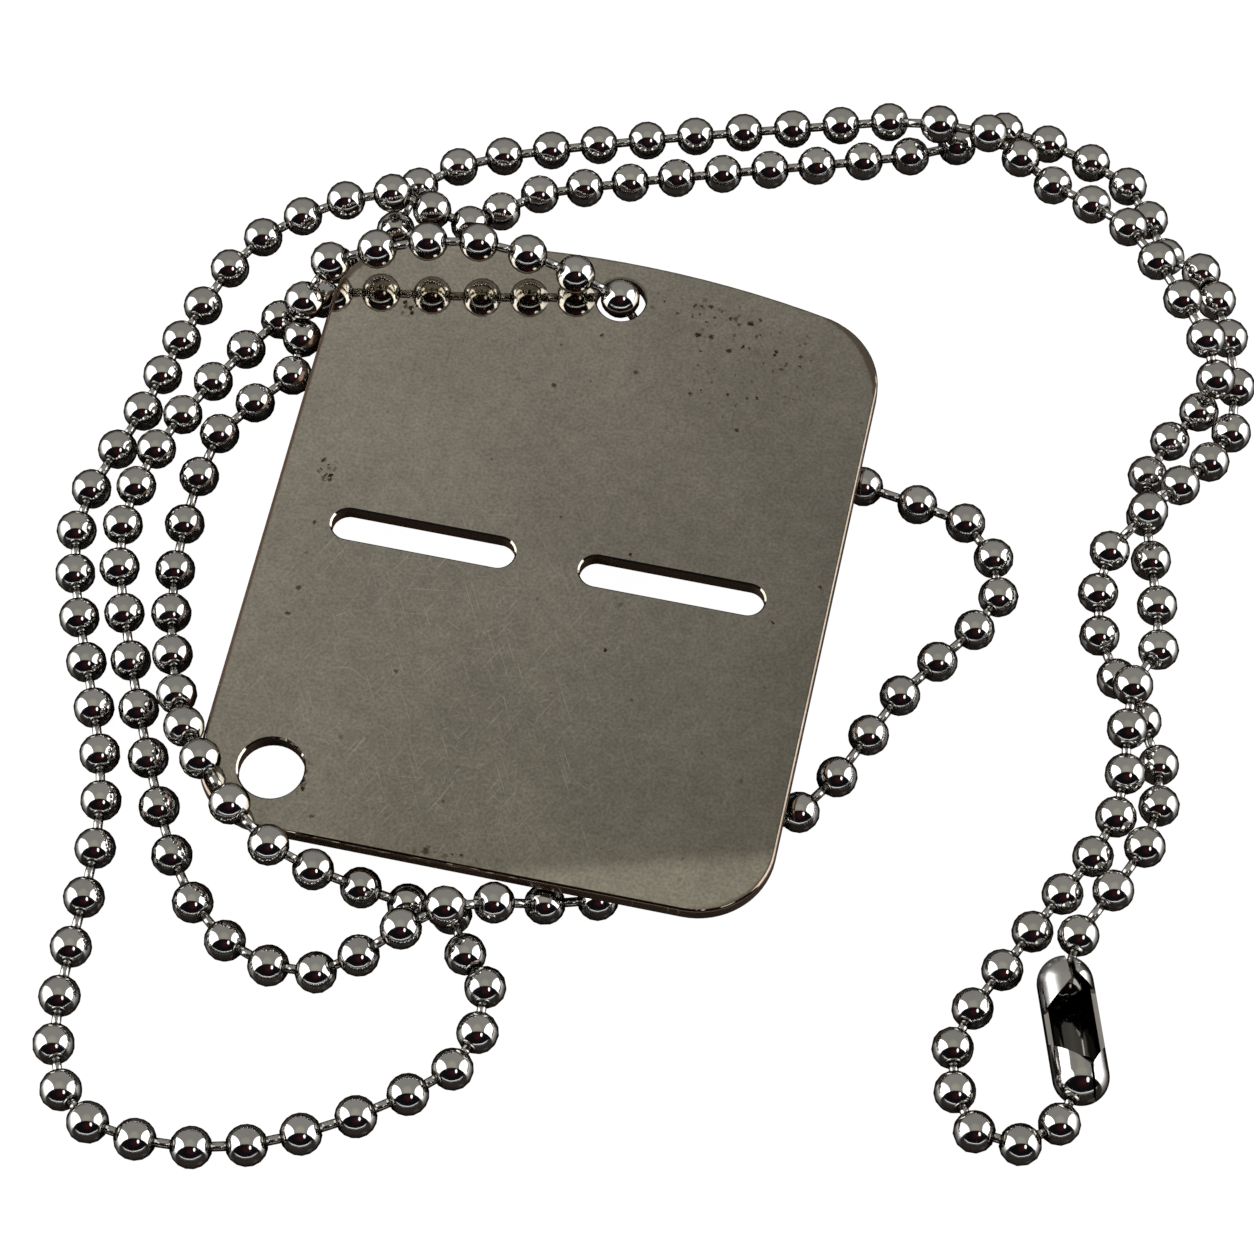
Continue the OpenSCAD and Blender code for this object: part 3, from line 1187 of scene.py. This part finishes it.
def oval(tree, right, up, middle, size):
    """Distance from an oval's middle, where its edge is at 1."""
    across = calc(tree, "DIVIDE", calc(tree, "SUBTRACT", right, middle[0]), size[0])
    along = calc(tree, "DIVIDE", calc(tree, "SUBTRACT", up, middle[1]), size[1])
    pair = put(tree, "ShaderNodeCombineXYZ", {"X": across, "Y": along})
    return vector(tree, "LENGTH", pair.outputs[0])


def dark_front(tree, way, right, up):
    """The dark room in front, with a red tint, a small lamp and a light line."""
    red = ramp(tree, oval(tree, right, up, *RED_PATCH), 1.0, 0.0)
    front = blend_colour(tree, red, DARK_ROOM, RED_TINT)
    lamp = ramp(tree, oval(tree, right, up, *SMALL_LAMP), 1.1, 0.8)
    front = blend_colour(tree, lamp, front, LAMP_LIGHT)
    # The line lies low in front, as a far edge of the table would show.
    ahead = ramp(tree, part_of(tree, way, "Y"), -0.5, -0.8)
    skyline = ramp(tree, part_of(tree, way, "Z"), 0.08, 0.055)
    skyline = calc(tree, "MULTIPLY", skyline, ahead)
    return blend_colour(tree, skyline, front, SKYLINE_LIGHT)


def room(s):
    """A grey ceiling, a bright panel on each side and a dark room in front.

    The shapes are laid out as a ball would show them to the camera: right
    and up run from -1 to 1 over the ball's face.
    """
    world = bpy.data.worlds.new("studio")
    world.use_nodes = True
    tree = world.node_tree
    way = put(tree, "ShaderNodeTexCoord").outputs["Generated"]
    back = (0.0, -math.cos(s.height), math.sin(s.height))
    upright = (0.0, math.sin(s.height), math.cos(s.height))
    facing = vector(tree, "NORMALIZE", vector(tree, "ADD", way, back))
    right = part_of(tree, facing, "X")
    up = vector(tree, "DOT_PRODUCT", facing, upright)
    grey = s.ceiling
    ceiling = blend_colour(
        tree,
        ramp(tree, part_of(tree, way, "Z"), 0.86, 0.99),
        (grey, grey * 0.97, grey * 0.91, 1.0),
        (grey * 1.35, grey * 1.33, grey * 1.12, 1.0),
    )
    left_panel = ramp(tree, oval(tree, right, up, *LEFT_PANEL), 1.06, 0.97)
    right_panel = ramp(tree, oval(tree, right, up, *RIGHT_PANEL), 1.08, 0.96)
    panels = calc(tree, "MAXIMUM", left_panel, right_panel)
    colour = blend_colour(tree, panels, ceiling, rgba((s.panels, s.panels, s.panels)))
    bowl = ramp(tree, oval(tree, right, up, *DARK_FRONT), 1.04, 0.96)
    colour = blend_colour(tree, bowl, colour, dark_front(tree, way, right, up))
    feed(tree, colour, tree.nodes["Background"].inputs["Color"])
    return world


def panel_light(name, towards, size, s):
    """A flat oval lamp that faces the tag and that nothing mirrors."""
    lamp = bpy.data.lights.new(name, "AREA")
    lamp.shape = "ELLIPSE"
    lamp.size = size[0]
    lamp.size_y = size[1]
    lamp.energy = s.lamps * math.pi * size[0] * size[1] * math.pi / 4
    holder = bpy.data.objects.new(name, lamp)
    bpy.context.scene.collection.objects.link(holder)
    way = Vector(towards).normalized()
    holder.location = Vector(s.target) + way * LAMP_AWAY
    holder.rotation_euler = way.to_track_quat("Z", "Y").to_euler()
    holder.visible_glossy = False


def paper_floor(s):
    """A wide square floor just under the lowest balls."""
    mesh = bpy.data.meshes.new("floor")
    corners = ((-1, -1), (1, -1), (1, 1), (-1, 1))
    mesh.from_pydata(
        [(x * FLOOR_REACH, y * FLOOR_REACH, -FLOOR_DROP) for x, y in corners],
        [],
        [(0, 1, 2, 3)],
    )
    mesh.materials.append(floor_material(s))
    return new_piece("floor", mesh)


def photo_camera(s):
    """A camera at the photograph's angle."""
    lens = bpy.data.cameras.new("camera")
    lens.sensor_width = 36.0
    lens.lens = s.lens
    lens.clip_start = 0.01
    lens.clip_end = 10.0
    camera = bpy.data.objects.new("camera", lens)
    bpy.context.scene.collection.objects.link(camera)
    camera.location = Vector(s.target) + Vector(
        (0.0, -math.cos(s.height) * s.away, math.sin(s.height) * s.away)
    )
    camera.rotation_euler = (math.pi / 2 - s.height, 0.0, 0.0)
    return camera


class IDTAG_OT_stage(bpy.types.Operator):
    """Sets the floor, the lights and the camera"""

    bl_idname = "idtag.stage"
    bl_label = "Stage"

    def execute(self, context):
        scene = context.scene
        s = scene.id_tag_stage
        floor = paper_floor(s)
        scene.world = room(s)
        for name, towards, size in PANEL_LIGHTS:
            panel_light(name, towards, size, s)
        scene.camera = photo_camera(s)
        scene.view_settings.view_transform = "Standard"
        return {"FINISHED"}


class IDTAG_PT_sidebar(bpy.types.Panel):
    """Lists the pieces and their settings"""

    bl_idname = "IDTAG_PT_sidebar"
    bl_label = "ID Tag"
    bl_space_type = "VIEW_3D"
    bl_region_type = "UI"
    bl_category = "ID Tag"

    def draw(self, context):
        for key, settings, operator in GROUPS:
            box = self.layout.box()
            box.operator(operator.bl_idname)
            for name in settings.__annotations__:
                box.prop(getattr(context.scene, key), name)


# Where each group of settings is kept, with its class and its operator.
GROUPS = (
    ("id_tag_plate", TagSettings, IDTAG_OT_plate),
    ("id_tag_chain", ChainSettings, IDTAG_OT_chain),
    ("id_tag_clasp", ClaspSettings, IDTAG_OT_clasp),
    ("id_tag_stage", StageSettings, IDTAG_OT_stage),
)
CLASSES = (
    *(settings for _, settings, _ in GROUPS),
    *(operator for _, _, operator in GROUPS),
    IDTAG_PT_sidebar,
)


def register():
    for cls in CLASSES:
        bpy.utils.register_class(cls)
    for key, settings, _ in GROUPS:
        setattr(bpy.types.Scene, key, PointerProperty(type=settings))


def unregister():
    for key, _, _ in GROUPS:
        delattr(bpy.types.Scene, key)
    for cls in reversed(CLASSES):
        bpy.utils.unregister_class(cls)


def main():
    register()
    bpy.ops.idtag.plate()
    bpy.ops.idtag.chain()
    bpy.ops.idtag.clasp()
    bpy.ops.idtag.stage()


if __name__ == "__main__":
    main()
